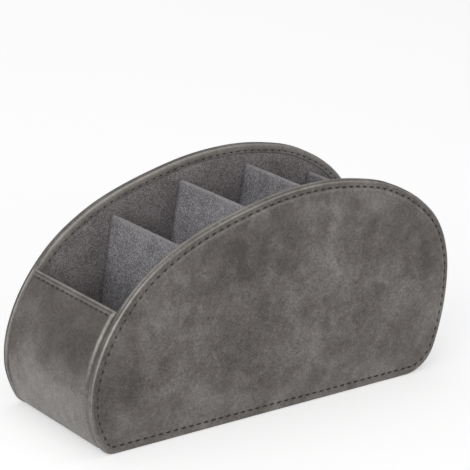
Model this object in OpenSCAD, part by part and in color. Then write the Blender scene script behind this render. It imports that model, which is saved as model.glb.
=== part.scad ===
// Remote control holder: two arched side panels, a band between them that forms the end
// walls and the base, and leaning dividers that make five compartments.
// X runs along the holder, Y across it, Z is up. The origin is the middle of the footprint.

/* [Overall] */
// Length from end to end
length = 242; // [210:1:290]
// Width over the outer faces of the side panels
width = 91; // [75:1:120]
// Height of the panels at their crown
height = 127; // [112:1:150]

/* [Panel outline] */
// How far the crown lies to the right of the middle
crown_x = 26; // [10:0.5:35]
// Height of the leftmost point of the outline
left_waist = 26; // [20:1:32]
// Height of the rightmost point of the outline
right_waist = 59; // [50:1:66]
// Angle that the flatter crown arc covers to the left
crown_sweep_left = 31; // [25:1:40]
// Angle that the flatter crown arc covers to the right
crown_sweep_right = 27; // [15:1:30]
// Radius of the left edge below its leftmost point
left_foot_r = 40; // [38:1:90]
// Radius of the right edge below its rightmost point
right_foot_r = 124; // [100:1:160]
// Radius of the lower left corner
left_corner_r = 9; // [7:0.5:14]
// Radius of the lower right corner
right_corner_r = 22; // [12:0.5:26]

/* [Side panels] */
// Thickness of a finished side panel
panel_t = 5; // [4.2:0.1:7]
// Thickness of the leatherette
leather_t = 1; // [0.8:0.1:1.3]
// Rounding of the panel's rim
rim_r = 1.4; // [1:0.1:1.8]
// Width of the leather turned over onto the inner face
hem_w = 5.4; // [5.2:0.1:6.5]

/* [Band and end walls] */
// How far the band lies inside the rims of the panels
band_recess = 0.8; // [0.4:0.1:1.2]
// Thickness of the boards in the end walls and the base
wall_board_t = 2.5; // [2:0.1:3.2]
// Thickness of the lining inside the band
lining_t = 1; // [0.7:0.1:1.2]
// Height of the left end wall at its fold
left_wall_top = 77; // [65:1:84]
// Height of the right end wall at its fold
right_wall_top = 84; // [75:1:92]
// Length of the leather turned over inside an end wall
wall_hem = 9; // [8:0.5:14]
// How far the band's long edges are rolled in, measured across the band
band_edge_w = 1.6; // [1:0.1:2.4]
// Depth of that roll
band_edge_h = 0.7; // [0.3:0.05:0.75]

/* [Dividers] */
// Distance from the left end to the top of the first divider
divider_lead = 69; // [60:1:75]
// Distance from the top of the last divider to the right end
divider_tail = 36.5; // [32:0.5:45]
// Angle by which the dividers lean to the right
divider_lean = 9; // [5:0.1:12]
// Depth of each divider's top below the rim of the panels
divider_drop = 11.5; // [8:0.5:20]
// Thickness of the board in a divider
divider_board_t = 1.8; // [1.2:0.1:2.4]
// Thickness of the velvet round it
velvet_t = 0.7; // [0.5:0.1:1]

/* [Stitching] */
// Distance from one stitch to the next
stitch_pitch = 4.9; // [4.4:0.1:6.5]
// Length of the thread seen in one stitch
stitch_len = 3.5; // [2.8:0.1:3.8]
// Width of the thread
thread_w = 0.55; // [0.4:0.05:0.7]
// Height of the thread
thread_h = 0.45; // [0.35:0.05:0.6]
// Distance of the stitches from the panel's rim
stitch_inset = 3.5; // [3.2:0.1:3.8]
// Depth of the groove that the stitches pull into the leather
groove_depth = 0.3; // [0.1:0.05:0.4]
// Distance of the stitches from the fold of an end wall
wall_stitch_drop = 2.8; // [2.5:0.1:6.5]

/* [Underside] */
// Distance of the felt from the panels and from the rounded corners
felt_margin = 1.5; // [0.5:0.5:6]

/* [Hidden] */
$fn = 24;

leather_c = [0.42, 0.40, 0.38];
board_c = [0.70, 0.60, 0.46];
lining_c = [0.30, 0.28, 0.27];
velvet_c = [0.36, 0.36, 0.38];
thread_c = [0.12, 0.11, 0.11];
felt_c = [0.16, 0.16, 0.16];

arc_step = 6.5;
divider_count = 4;
inner_half = width / 2 - panel_t;
panel_board_t = panel_t - 2 * leather_t;
groove_half = thread_w / 2 + 0.35;
smallest_r = 0.6;
board_rise = 0.5;
thread_lift = 0.1;

// Layers of the band, each as its distance inside the rims of the panels
band_board_in = band_recess + leather_t;
band_lining_in = band_board_in + wall_board_t;
band_inside = band_lining_in + lining_t;
hem_inside = band_lining_in + leather_t;
floor_z = band_inside;

// The upper outline is two ovals, each of a flatter crown arc and a tighter side arc that
// meet without a kink. Both radii follow from the oval's reach, its rise and the crown
// arc's sweep.
function oval_gap(reach, rise, sweep) = (reach - rise) / (sin(sweep) + cos(sweep) - 1);
function side_r(reach, rise, sweep) = reach - oval_gap(reach, rise, sweep) * sin(sweep);
function crown_r(reach, rise, sweep) =
    side_r(reach, rise, sweep) + oval_gap(reach, rise, sweep);

left_reach = length / 2 + crown_x;
right_reach = length / 2 - crown_x;
left_rise = height - left_waist;
right_rise = height - right_waist;
left_side_r = side_r(left_reach, left_rise, crown_sweep_left);
left_crown_r = crown_r(left_reach, left_rise, crown_sweep_left);
right_side_r = side_r(right_reach, right_rise, crown_sweep_right);
right_crown_r = crown_r(right_reach, right_rise, crown_sweep_right);

left_crown_c = [crown_x, height - left_crown_r];
right_crown_c = [crown_x, height - right_crown_r];
left_side_c = [left_side_r - length / 2, left_waist];
right_side_c = [length / 2 - right_side_r, right_waist];
left_foot_c = [left_foot_r - length / 2, left_waist];
right_foot_c = [length / 2 - right_foot_r, right_waist];

// Centre of the lower corner at inset d: it touches the foot arc and the base line
function corner_c(foot_c, foot_r, r, d, side) = let(
        small = max(r - d, smallest_r),
        z = d + small,
        reach = sqrt(pow(foot_r - d - small, 2) - pow(foot_c[1] - z, 2))
    ) [foot_c[0] + side * reach, z];
function angle_of(v) = atan2(v[1], v[0]);

// The arcs of the outline at inset d, counterclockwise from the base line's right end.
// Each is [centre, radius, first angle, last angle].
function rim_arcs(d) = let(
        right_c = corner_c(right_foot_c, right_foot_r, right_corner_r, d, 1),
        left_c = corner_c(left_foot_c, left_foot_r, left_corner_r, d, -1),
        right_a = angle_of(right_c - right_foot_c),
        left_a = 360 + angle_of(left_c - left_foot_c)
    ) [
        [right_c, max(right_corner_r - d, smallest_r), -90, right_a],
        [right_foot_c, right_foot_r - d, right_a, 0],
        [right_side_c, right_side_r - d, 0, 90 - crown_sweep_right],
        [right_crown_c, right_crown_r - d, 90 - crown_sweep_right, 90],
        [left_crown_c, left_crown_r - d, 90, 90 + crown_sweep_left],
        [left_side_c, left_side_r - d, 90 + crown_sweep_left, 180],
        [left_foot_c, left_foot_r - d, 180, left_a],
        [left_c, max(left_corner_r - d, smallest_r), left_a, 270]
    ];

function at_angle(c, r, a) = c + r * [cos(a), sin(a)];
function steps(g) = max(1, ceil((g[3] - g[2]) / arc_step));
arc_steps = [for (g = rim_arcs(0)) steps(g)];
function arc_points(g, n, first) =
    [for (i = [first:n]) at_angle(g[0], g[1], g[2] + (g[3] - g[2]) * i / n)];
// Points of the whole outline at inset d, the same number at every inset
function outline(d) = let(arcs = rim_arcs(d))
    [for (k = [0:7]) each arc_points(arcs[k], arc_steps[k], k == 0 ? 0 : 1)];

// Height of the rim above a place along the holder
function circle_top(c, r, x) = c[1] + sqrt(max(0, r * r - pow(x - c[0], 2)));
left_join_x = at_angle(left_crown_c, left_crown_r, 90 + crown_sweep_left)[0];
right_join_x = at_angle(right_crown_c, right_crown_r, 90 - crown_sweep_right)[0];
function rim_z(x) =
    x < left_join_x ? circle_top(left_side_c, left_side_r, x)
    : x < crown_x ? circle_top(left_crown_c, left_crown_r, x)
    : x < right_join_x ? circle_top(right_crown_c, right_crown_r, x)
    : circle_top(right_side_c, right_side_r, x);

// Angles at which the end walls stop, seen from the centres of the side arcs
left_top_a = 180 - asin((left_wall_top - left_waist) / left_side_r);
right_top_a = asin((right_wall_top - right_waist) / right_side_r);
function left_turn(s) = s / left_side_r * 180 / PI;
function right_turn(s) = s / right_side_r * 180 / PI;

// Angles of the points up each end wall, from the board's end down to the waist. All layers
// of the band share them, so that they lie face to face.
BOARD_END = 0;
WALL_TOP = 1;
HEM_END = 3;
function down_to(a, b) = let(n = ceil(abs(b - a) / arc_step))
    [for (i = [1:n]) a + (b - a) * i / n];
drops = [-board_rise, 0, wall_hem / 2, wall_hem];
left_hem_angles = [for (s = drops) left_top_a + left_turn(s)];
right_hem_angles = [for (s = drops) right_top_a - right_turn(s)];
left_angles = concat(left_hem_angles, down_to(left_hem_angles[HEM_END], 180));
right_angles = concat(right_hem_angles, down_to(right_hem_angles[HEM_END], 0));
function left_wall_points(d, first, last) =
    [for (i = [first:last]) at_angle(left_side_c, left_side_r - d, left_angles[i])];
function right_wall_points(d, first, last) =
    [for (i = [first:last]) at_angle(right_side_c, right_side_r - d, right_angles[i])];

// Points along the band at inset d, from the left wall to the right one by way of the base
function band_path(d, first) = let(arcs = rim_arcs(d)) concat(
        left_wall_points(d, first, len(left_angles) - 1),
        arc_points(arcs[6], arc_steps[6], 1),
        arc_points(arcs[7], arc_steps[7], 1),
        arc_points(arcs[0], arc_steps[0], 0),
        arc_points(arcs[1], arc_steps[1], 1),
        reversed(right_wall_points(d, first, len(right_angles) - 2))
    );

function reversed(points) = [for (i = [len(points) - 1:-1:0]) points[i]];

// Faces that close the end of a loft: one for a convex section, and a row of them for a
// ribbon, which has as many points along its one side as back along the other
function whole_cap(n) = [[for (i = [0:n - 1]) i]];
function ribbon_cap(n) = [for (i = [0:n / 2 - 2]) [i, i + 1, n - 2 - i, n - 1 - i]];

// Closed solid through sections that all have the same number of points. Each section is
// [points in X and Z, place along Y].
module loft(sections, cap) {
    n = len(sections[0][0]);
    last = len(sections) - 1;
    points = [for (s = sections) for (p = s[0]) [p[0], s[1], p[1]]];
    sides = [for (k = [0:last - 1]) for (i = [0:n - 1]) let(j = (i + 1) % n)
        [k * n + i, k * n + j, (k + 1) * n + j, (k + 1) * n + i]];
    first_caps = [for (f = cap) reversed(f)];
    last_caps = [for (f = cap) [for (i = f) last * n + i]];
    polyhedron(points = points, faces = concat(first_caps, last_caps, sides), convexity = 8);
}

// Flat shape in X and Z, made thick along Y from y0 to y1
module slab(y0, y1) {
    translate([0, y1, 0]) rotate([90, 0, 0]) linear_extrude(height = y1 - y0) children();
}

// Section of the leather round a panel, as [inset, depth from the outer face]: the outer
// sheet with its stitch groove, the round rim, the hem, and the way back round the board
function roll(d) = rim_r * (1 - sin(d));
leather_section = [
    [stitch_inset + groove_half + groove_depth, 0],
    [stitch_inset + groove_half, groove_depth],
    [stitch_inset - groove_half, groove_depth],
    [stitch_inset - groove_half - groove_depth, 0],
    [rim_r, 0],
    [roll(45), roll(45)],
    [0, rim_r],
    [0, panel_t - rim_r],
    [roll(45), panel_t - roll(45)],
    [rim_r, panel_t],
    [hem_w, panel_t],
    [hem_w, panel_t - leather_t],
    [leather_t, panel_t - leather_t],
    [leather_t, leather_t]
];

module panel_leather() {
    color(leather_c) loft(
        [for (p = leather_section) [outline(p[0]), p[1] - width / 2]],
        whole_cap(len(outline(0))));
}

module panel_board() {
    outer = leather_t - width / 2;
    color(board_c) slab(outer, outer + panel_board_t) polygon(outline(leather_t));
}

module panel_lining() {
    color(lining_c) slab(-inner_half - leather_t, -inner_half) polygon(outline(hem_w));
}

// Places along the stitch line, as [point, heading]
stitch_arcs = rim_arcs(stitch_inset);
function arc_length(g) = g[1] * (g[3] - g[2]) * PI / 180;
function total(lengths, n) = n == 0 ? 0 : lengths[n - 1] + total(lengths, n - 1);
arc_lengths = [for (g = stitch_arcs) arc_length(g)];
base_line = stitch_arcs[0][0][0] - stitch_arcs[7][0][0];
run_starts = [for (k = [0:8]) total(arc_lengths, k)];
stitch_run = run_starts[8] + base_line;
stitch_count = round(stitch_run / stitch_pitch);
function run_of(s) = max([for (k = [0:8]) s >= run_starts[k] ? k : 0]);
function place_at(s) = let(k = run_of(s), rest = s - run_starts[k])
    k == 8 ? [[stitch_arcs[7][0][0] + rest, stitch_inset], 0]
    : let(g = stitch_arcs[k], a = g[2] + rest / g[1] * 180 / PI)
        [at_angle(g[0], g[1], a), a + 90];
stitch_places = [for (i = [0:stitch_count - 1])
    place_at((i + 0.5) * stitch_run / stitch_count)];
function above_walls(p) =
    p[1] > (p[0] < crown_x ? left_wall_top : right_wall_top) + stitch_len;

// One stitch lies along X on the face Y = 0 and stands up towards +Y
module stitch() {
    translate([-stitch_len / 2, 0, -thread_w / 2]) cube([stitch_len, thread_h, thread_w]);
}

module panel_stitching() {
    outer_seat = groove_depth - width / 2;
    color(thread_c) {
        for (p = stitch_places)
            translate([p[0][0], outer_seat, p[0][1]]) rotate([0, -p[1], 0])
                mirror([0, 1, 0]) stitch();
        for (p = stitch_places)
            if (above_walls(p[0]))
                translate([p[0][0], -inner_half, p[0][1]]) rotate([0, -p[1], 0]) stitch();
    }
}

module to_back() {
    mirror([0, 1, 0]) children();
}

// Section of the band's leather. Its face goes down inside the left wall's hem, over the
// rounded top, along the band at inset outer, and over the right wall into the hem there. Its
// back lies on the boards, with one point in the middle of the end of each wall's board.
board_mid_in = (band_board_in + band_lining_in) / 2;
function fold(side_c, side_radius, top_a, outer, way) = let(
        r = (hem_inside - outer) / 2,
        c = at_angle(side_c, side_radius - outer - r, top_a)
    ) [for (a = [45, 90, 135]) at_angle(c, r, top_a + way * a)];
function band_face(outer) = concat(
        reversed(left_wall_points(hem_inside, WALL_TOP, HEM_END)),
        reversed(fold(left_side_c, left_side_r, left_top_a, outer, -1)),
        band_path(outer, WALL_TOP),
        fold(right_side_c, right_side_r, right_top_a, outer, 1),
        right_wall_points(hem_inside, WALL_TOP, HEM_END)
    );
band_back = concat(
        reversed(left_wall_points(band_lining_in, BOARD_END, HEM_END)),
        left_wall_points(board_mid_in, BOARD_END, BOARD_END),
        band_path(band_board_in, BOARD_END),
        right_wall_points(board_mid_in, BOARD_END, BOARD_END),
        right_wall_points(band_lining_in, BOARD_END, HEM_END)
    );
function band_section(outer) = concat(band_face(outer), reversed(band_back));
function edge_roll(t) = band_edge_h * (1 - sqrt(1 - pow(1 - t, 2)));
band_levels = [for (t = [0, 0.4, 1]) [band_recess + edge_roll(t), inner_half - t * band_edge_w]];

module band_leather() {
    sections = concat(
        [for (v = band_levels) [band_section(v[0]), -v[1]]],
        [for (v = reversed(band_levels)) [band_section(v[0]), v[1]]]
    );
    color(leather_c) loft(sections, ribbon_cap(2 * len(band_back)));
}

// Layer of the band between two insets
module band_layer(d0, d1, first) {
    slab(-inner_half, inner_half)
        polygon(concat(band_path(d0, first), reversed(band_path(d1, first))));
}

module band_lining() {
    color(lining_c) band_layer(band_lining_in, band_inside, HEM_END);
}

// The straight stretch of the base between the two rounded corners
base_left = corner_c(left_foot_c, left_foot_r, left_corner_r, 0, -1)[0];
base_right = corner_c(right_foot_c, right_foot_r, right_corner_r, 0, 1)[0];

module wall_boards(x0, x1) {
    color(board_c) intersection() {
        band_layer(band_board_in, band_lining_in, BOARD_END);
        translate([x0, -width / 2, 0]) cube([x1 - x0, width, height]);
    }
}

module left_wall_board() {
    wall_boards(-length / 2, base_left);
}

module right_wall_board() {
    wall_boards(base_right, length / 2);
}

module base_board() {
    color(board_c) translate([base_left, -inner_half, band_board_in])
        cube([base_right - base_left, 2 * inner_half, wall_board_t]);
}

module base_felt() {
    half = inner_half - felt_margin;
    x0 = base_left + felt_margin;
    color(felt_c) translate([x0, -half, 0])
        cube([base_right - felt_margin - x0, 2 * half, band_recess]);
}

// A row of stitches across an end wall, through both of its faces
row_count = floor((2 * inner_half - stitch_pitch) / stitch_pitch);
module wall_row(side_c, side_radius, a) {
    color(thread_c) for (i = [0:row_count - 1]) {
        y = (i - (row_count - 1) / 2) * stitch_pitch;
        translate([side_c[0], y, side_c[1]]) rotate([0, -a, 0]) {
            translate([side_radius - band_recess, -stitch_len / 2, -thread_w / 2])
                cube([thread_h, stitch_len, thread_w]);
            translate([side_radius - hem_inside - thread_lift - thread_h,
                -stitch_len / 2, -thread_w / 2]) cube([thread_h, stitch_len, thread_w]);
        }
    }
}

module left_wall_stitching() {
    wall_row(left_side_c, left_side_r, left_top_a + left_turn(wall_stitch_drop));
}

module right_wall_stitching() {
    wall_row(right_side_c, right_side_r, right_top_a - right_turn(wall_stitch_drop));
}

// Dividers stand on the lining of the base and lean to the right
divider_pitch = (length - divider_lead - divider_tail) / (divider_count - 1);
function divider_top_x(i) = divider_lead - length / 2 + (i - 1) * divider_pitch;
function divider_top_z(i) = rim_z(divider_top_x(i)) - divider_drop;
module divider_profile(i, half_t, cut) {
    rise = divider_top_z(i) - floor_z;
    foot_x = divider_top_x(i) - rise * tan(divider_lean);
    long = rise / cos(divider_lean) - cut;
    intersection() {
        translate([foot_x, floor_z]) rotate(-divider_lean) union() {
            translate([-half_t, -2 * half_t]) square([2 * half_t, long + half_t]);
            translate([0, long - half_t]) circle(half_t);
        }
        translate([foot_x - rise, floor_z]) square([2 * rise, rise]);
    }
}

module divider_board(i) {
    color(board_c) slab(-inner_half, inner_half)
        divider_profile(i, divider_board_t / 2, velvet_t);
}

module divider_cover(i) {
    color(velvet_c) slab(-inner_half, inner_half) difference() {
        divider_profile(i, divider_board_t / 2 + velvet_t, 0);
        divider_profile(i, divider_board_t / 2, velvet_t);
    }
}

panel_leather();  // front_leather
panel_board();  // front_board
panel_lining();  // front_lining
panel_stitching();  // front_stitching
to_back() panel_leather();  // back_leather
to_back() panel_board();  // back_board
to_back() panel_lining();  // back_lining
to_back() panel_stitching();  // back_stitching
band_leather();
band_lining();
left_wall_board();
base_board();
right_wall_board();
left_wall_stitching();
right_wall_stitching();
base_felt();
divider_board(1);  // divider_1_board
divider_board(2);  // divider_2_board
divider_board(3);  // divider_3_board
divider_board(4);  // divider_4_board
divider_cover(1);  // divider_1_cover
divider_cover(2);  // divider_2_cover
divider_cover(3);  // divider_3_cover
divider_cover(4);  // divider_4_cover
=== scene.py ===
import math

import bmesh
import bpy
import numpy as np
from mathutils import Matrix, Vector, noise


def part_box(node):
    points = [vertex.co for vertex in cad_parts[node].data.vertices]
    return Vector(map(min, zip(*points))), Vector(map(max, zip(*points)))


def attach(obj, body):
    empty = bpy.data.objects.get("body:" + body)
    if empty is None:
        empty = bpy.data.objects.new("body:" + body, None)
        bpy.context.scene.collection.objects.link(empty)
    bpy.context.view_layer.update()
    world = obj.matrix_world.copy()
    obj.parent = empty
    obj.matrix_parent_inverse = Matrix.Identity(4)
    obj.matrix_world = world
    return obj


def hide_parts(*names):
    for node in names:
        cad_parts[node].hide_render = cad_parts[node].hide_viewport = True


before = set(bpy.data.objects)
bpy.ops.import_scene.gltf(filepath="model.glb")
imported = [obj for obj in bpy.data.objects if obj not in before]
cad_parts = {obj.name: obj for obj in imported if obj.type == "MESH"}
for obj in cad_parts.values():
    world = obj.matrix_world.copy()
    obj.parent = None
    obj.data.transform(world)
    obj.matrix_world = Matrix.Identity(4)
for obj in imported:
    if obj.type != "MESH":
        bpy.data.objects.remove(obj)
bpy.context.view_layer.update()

mm = 0.001

# sizes of the holder in mm, as in the part's source
holder = {
    "length": 242, "width": 91, "height": 127,
    "crownX": 26, "leftWaist": 26, "rightWaist": 59,
    "sweepLeft": 31, "sweepRight": 27,
    "leftFootR": 40, "rightFootR": 124, "leftCornerR": 9, "rightCornerR": 22,
    "panelThick": 5, "rimR": 1.4, "hemWidth": 5.4,
    "stitchInset": 3.5, "stitchPitch": 4.9, "stitchLength": 3.5,
    "bandRecess": 0.8, "boardIn": 1.8, "liningIn": 4.3, "bandInside": 5.3,
    "leftWallTop": 77, "rightWallTop": 84, "wallHem": 9, "wallStitchDrop": 2.4,
}
innerHalf = holder["width"] / 2 - holder["panelThick"]


# reckoning
def unit(x):
    return min(1, max(0, x))


def hump(x, width):
    return math.exp(-(x / width) ** 2)


def bell(x, width):
    # the same for many values at once
    return np.exp(-(np.asarray(x, float) / width) ** 2)


def between(stations, s, column=1):
    # the value at place s, from a list of places with their values
    return np.interp(s, [station[0] for station in stations], [station[column] for station in stations])


# the outline of the panels, walked by arc length
def ovalRadii(reach, rise, sweep):
    a = math.radians(sweep)
    gap = (reach - rise) / (math.sin(a) + math.cos(a) - 1)
    side = reach - gap * math.sin(a)
    return side, side + gap


def rimArcs():
    # centre, radius, first and last angle, counterclockwise from the right end of the base
    h = holder
    half = h["length"] / 2
    leftSide, leftCrown = ovalRadii(half + h["crownX"], h["height"] - h["leftWaist"], h["sweepLeft"])
    rightSide, rightCrown = ovalRadii(half - h["crownX"], h["height"] - h["rightWaist"], h["sweepRight"])
    leftFoot = (h["leftFootR"] - half, h["leftWaist"])
    rightFoot = (half - h["rightFootR"], h["rightWaist"])

    def cornerCentre(foot, footR, r, side):
        return foot[0] + side * math.sqrt((footR - r) ** 2 - (foot[1] - r) ** 2), r

    rightCorner = cornerCentre(rightFoot, h["rightFootR"], h["rightCornerR"], 1)
    leftCorner = cornerCentre(leftFoot, h["leftFootR"], h["leftCornerR"], -1)
    rightTurn = math.degrees(math.atan2(rightCorner[1] - rightFoot[1], rightCorner[0] - rightFoot[0]))
    leftTurn = 360 + math.degrees(math.atan2(leftCorner[1] - leftFoot[1], leftCorner[0] - leftFoot[0]))
    crown = h["crownX"]
    return [
        (rightCorner, h["rightCornerR"], -90, rightTurn),
        (rightFoot, h["rightFootR"], rightTurn, 0),
        ((half - rightSide, h["rightWaist"]), rightSide, 0, 90 - h["sweepRight"]),
        ((crown, h["height"] - rightCrown), rightCrown, 90 - h["sweepRight"], 90),
        ((crown, h["height"] - leftCrown), leftCrown, 90, 90 + h["sweepLeft"]),
        ((leftSide - half, h["leftWaist"]), leftSide, 90 + h["sweepLeft"], 180),
        (leftFoot, h["leftFootR"], 180, leftTurn),
        (leftCorner, h["leftCornerR"], leftTurn, 270),
    ]


arcs = rimArcs()

# sewn boards don't keep quite to their arcs: place along the rim, width and inward shift in mm
handBends = [(100, 12, -0.35), (122, 14, 0.40), (152, 14, -0.60), (249, 18, 0.37), (294, 20, -0.76),
             (340, 20, 0.62), (387, 15, -0.74), (411, 9, 0.47)]
bendRun = 631.8  # length of the rim that these places go with


class Walk:
    # steps along the outline, measured at one inset, and gives the rim point and the inward normal
    def __init__(self, inset):
        self.inset = inset
        self.starts = [0.0]
        for _, r, a, b in arcs:
            self.starts.append(self.starts[-1] + (r - inset) * math.radians(b - a))
        self.run = self.starts[-1] + arcs[0][0][0] - arcs[7][0][0]

    def place(self, s):
        s = s % self.run
        if s >= self.starts[8]:
            return arcs[7][0][0] + s - self.starts[8], 0.0, 0.0, 1.0
        k = max(i for i in range(8) if s >= self.starts[i])
        centre, r, a, _ = arcs[k]
        t = math.radians(a) + (s - self.starts[k]) / (r - self.inset)
        reach = r - sum(v * hump(s * bendRun / self.run - at, width) for at, width, v in handBends)
        return centre[0] + reach * math.cos(t), centre[1] + reach * math.sin(t), -math.cos(t), -math.sin(t)

    def at(self, arc, angle):
        _, r, a, _ = arcs[arc]
        return self.starts[arc] + (r - self.inset) * math.radians(angle - a)


stitchWalk = Walk(holder["stitchInset"])
rimWalk = Walk(0)
stitchCount = round(stitchWalk.run / holder["stitchPitch"])
leftTopAngle = 180 - math.degrees(math.asin((holder["leftWallTop"] - holder["leftWaist"]) / arcs[5][1]))
rightTopAngle = math.degrees(math.asin((holder["rightWallTop"] - holder["rightWaist"]) / arcs[2][1]))
leftTop = rimWalk.at(5, leftTopAngle)
rightTop = rimWalk.run + rimWalk.at(2, rightTopAngle)

# the seam wanders by hand: place along the rim, distance in from the rim, share of a full stitch
seamRun = [
    (0, 4.5, 1.0), (22, 3.1, 0.7), (50, 2.8, 0.55), (78, 2.8, 0.55), (100, 3.4, 0.6), (150, 3.6, 0.8),
    (175, 4.0, 0.9), (275, 4.0, 0.85), (300, 4.2, 0.7), (330, 4.4, 0.5), (408, 4.4, 0.5),
    (428, 4.4, 0.95), (632, 4.5, 1.0),
]


def alongRim(along):
    # from a place on the stitch line to the one on the rim
    return along * rimWalk.run / stitchWalk.run


def seamInset(along):
    return between(seamRun, alongRim(np.asarray(along)))


def stitchShare(along):
    return float(between(seamRun, alongRim(along), 2))


# small modelling helpers
def deselectAll():
    if bpy.context.object and bpy.context.object.mode != "OBJECT":
        bpy.ops.object.mode_set(mode="OBJECT")
    bpy.ops.object.select_all(action="DESELECT")


def pick(*objects):
    deselectAll()
    for o in objects:
        o.select_set(True)
    bpy.context.view_layer.objects.active = objects[0]


def startRing(name, points):
    # a circle of as many points, numbered, and then set on its first places
    deselectAll()
    bpy.ops.mesh.primitive_circle_add(vertices=len(points), radius=0.05)
    ring = bpy.context.object
    ring.name = ring.data.name = name
    bpy.ops.object.mode_set(mode="EDIT")
    bm = bmesh.from_edit_mesh(ring.data)
    column = bm.verts.layers.int.new("column")
    for i, v in enumerate(bm.verts):
        v[column] = i
    setRing(ring, points)
    return ring


def setRing(ring, points):
    bm = bmesh.from_edit_mesh(ring.data)
    column = bm.verts.layers.int["column"]
    for v in bm.verts:
        if v.select:
            v.co = points[v[column]]
    bmesh.update_edit_mesh(ring.data)


def growRing(ring, points):
    # pulls the selected edge ring out to the next ring of places
    bpy.ops.mesh.extrude_edges_move(TRANSFORM_OT_translate={"value": (0, 0, 0)})
    setRing(ring, points)


def selectByColumn(ring, test):
    bm = bmesh.from_edit_mesh(ring.data)
    column = bm.verts.layers.int["column"]
    bpy.ops.mesh.select_all(action="DESELECT")
    bpy.ops.mesh.select_mode(type="VERT")
    for v in bm.verts:
        if test(v, v[column]):
            v.select = True
    bm.select_flush(True)
    bmesh.update_edit_mesh(ring.data)


def closeEnds(strip):
    # fills the last ring, which is still selected, and then the first one
    bpy.ops.mesh.fill()
    selectByColumn(strip, lambda v, c: v.co.y < -innerHalf * mm + 1e-6)
    bpy.ops.mesh.fill()


smoothAngle = 50  # steeper edges stay sharp


def endEdit(flatAngle=None):
    # turns the faces out and shades them smooth
    bpy.ops.mesh.select_all(action="SELECT")
    bpy.ops.mesh.normals_make_consistent(inside=False)
    bpy.ops.mesh.select_all(action="DESELECT")
    bpy.ops.object.mode_set(mode="OBJECT")
    if flatAngle:
        bpy.ops.object.shade_smooth_by_angle(angle=math.radians(flatAngle))
    else:
        bpy.ops.object.shade_smooth()


def readPoints(obj):
    co = np.zeros(len(obj.data.vertices) * 3)
    obj.data.vertices.foreach_get("co", co)
    return co.reshape(-1, 3) / mm


def writePoints(obj, co):
    obj.data.vertices.foreach_set("co", (co * mm).ravel())
    obj.data.update()


def setAttribute(obj, name, values):
    old = obj.data.attributes.get(name)
    if old:
        obj.data.attributes.remove(old)
    made = obj.data.attributes.new(name, "FLOAT", "POINT")
    made.data.foreach_set("value", np.asarray(values, np.float32))


def drift(p, scale, seed):
    # slow hand-made unevenness, about -1 to 1; scale is the size of a hump in mm
    return noise.noise(Vector((p[0] / scale + seed * 7.3, p[1] / scale - seed * 3.1, p[2] / scale + seed)))


def mirrorPiece(piece):
    # to the other side of the holder
    pick(piece)
    bpy.ops.object.mode_set(mode="EDIT")
    bpy.ops.mesh.select_all(action="SELECT")
    bpy.ops.transform.mirror(constraint_axis=(False, True, False), center_override=(0, 0, 0))
    endEdit(smoothAngle)


def finishPiece(piece, slot, *replaced):
    piece.data.materials.clear()
    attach(piece, "root")
    if replaced:
        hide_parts(*replaced)


# leather of the side panels
panelLeather = {
    "perStitch": 4,
    "leather": 1.0,
    "grooveDepth": 0.36, "grooveWidth": 0.55,  # at a stitch
    "betweenStitches": 0.42,  # share of that depth half way to the next
    "wobble": 0.35, "wobbleSize": 5.1,  # no two stitches are pulled alike
    "hills": [(1.5, 0.9, 0.06), (-1.0, 0.5, 0.04)],  # beside the seam: distance in, width, height
    "puff": 0.45, "puffRun": 14,  # how far the face swells inside the stitch line
    "waves": 0.13, "wavesSize": 38, "ripples": 0.035, "ripplesSize": 11,
    "rimBumps": [(9, 5, 0.07), (3.5, 6, 0.03)],  # size, seed, height
    "cornerSteps": 12, "sideSteps": 8,
    "faceStart": 8.2,  # where the seam's rings end and the open face begins
    "openRound": 1.8, "hemFull": 0.1,  # inner corner of the rim above the walls, and its hem's swell
    "wallRound": {"front_panel_leather": 2.2, "back_panel_leather": 0.4},  # that corner along the band
    # painted light: the inner hem is made paler
    "hemShade": 0.9,
    "dip": 0.13,  # between the rim's bead and the ridge beside the stitches
    "deeperRight": 0.6,  # the painted shade in the groove is darker on the right side of the rim
    "dipShade": (2.3, 0.5, 0.3),  # painted shade in the dip: distance in, width, strength
    "baseShade": (0.9, 0.4, 0.25), "baseShift": 0.8, "baseFrom": 418,  # the painted shade lies otherwise along the base
    "gapShade": (3.5, 1.4, 0.9),  # painted shade in the gap towards the left wall: depth, width, strength
    "hillHighlight": (1.35, 0.65, 0.24),  # painted highlight on the first hill inside the seam along the crown
    "hillRun": [(20, 0), (60, 0.5), (110, 0.7), (160, 1), (275, 1), (300, 0.5), (325, 0)],
    "creaseSpots": [(33, 22, 1.0), (-72, 14, 0.6), (92, 12, 0.35), (-8, 12, 0.4)],  # x, width, strength
}
# rings beside the stitch line: distance in from it, and depth or share of the groove's depth
faceRings = [(2.6, -0.30), (1.9, -0.28), (1.35, -0.24), (0.9, -0.12)]
grooveRings = [(0.6, 0.35), (0.3, 0.85), (0, 1), (-0.3, 0.8), (-0.6, 0.3)]
hemRings = [(-0.75, 0), (-0.5, 0.04), (-0.25, 0.15), (0, 0.2), (0.25, 0.15), (0.5, 0.02)]
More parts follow.
